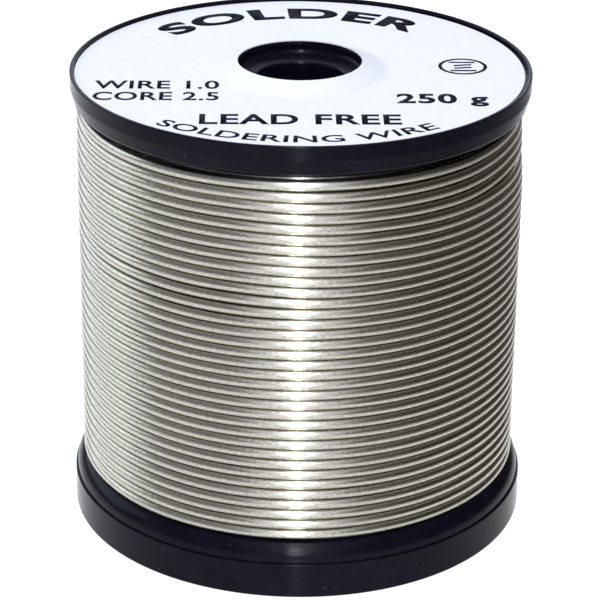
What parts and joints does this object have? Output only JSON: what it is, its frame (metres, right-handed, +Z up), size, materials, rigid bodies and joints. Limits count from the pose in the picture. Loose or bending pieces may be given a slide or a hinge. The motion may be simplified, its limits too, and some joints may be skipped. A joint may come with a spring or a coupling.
{
  "type": "solder wire spool",
  "caption": "Full spool of thin solder wire: black two-part plastic spool with a banded foot, a spindle bore, a round white label and a close layered winding.",
  "frame": {"origin": "centre of the lower rim, on the surface that the spool stands on", "axes": "+Z up the spindle axis, from the banded lower flange to the labelled upper flange; X and Y lie in the table; the front of the label faces -Y"},
  "size_m": [0.0446, 0.0446, 0.0456],
  "materials": {
    "spool_plastic": "black moulded polystyrene, satin gloss with fine handling marks",
    "label_paper": "smooth white self-adhesive paper with black print",
    "solder": "bright drawn tin alloy wire with fine lengthwise streaks",
    "label_ink": "black print on the label, matt"
  },
  "bodies": {
    "root": {"upper_flange": "spool_plastic", "lower_flange_and_barrel": "spool_plastic", "top_label": "label_paper", "wire_start_end": "solder", "wire_free_end": "solder", "wire_layer_01": "solder", "wire_layer_02": "solder", "wire_layer_03": "solder", "wire_layer_04": "solder", "wire_layer_05": "solder", "wire_layer_06": "solder", "wire_layer_07": "solder", "wire_layer_08": "solder", "wire_layer_09": "solder", "wire_layer_10": "solder", "wire_layer_11": "solder", "wire_layer_12": "solder", "wire_layer_13": "solder", "wire_layer_14": "solder", "wire_layer_15": "solder", "wire_layer_16": "solder"}
  },
  "joints": []
}
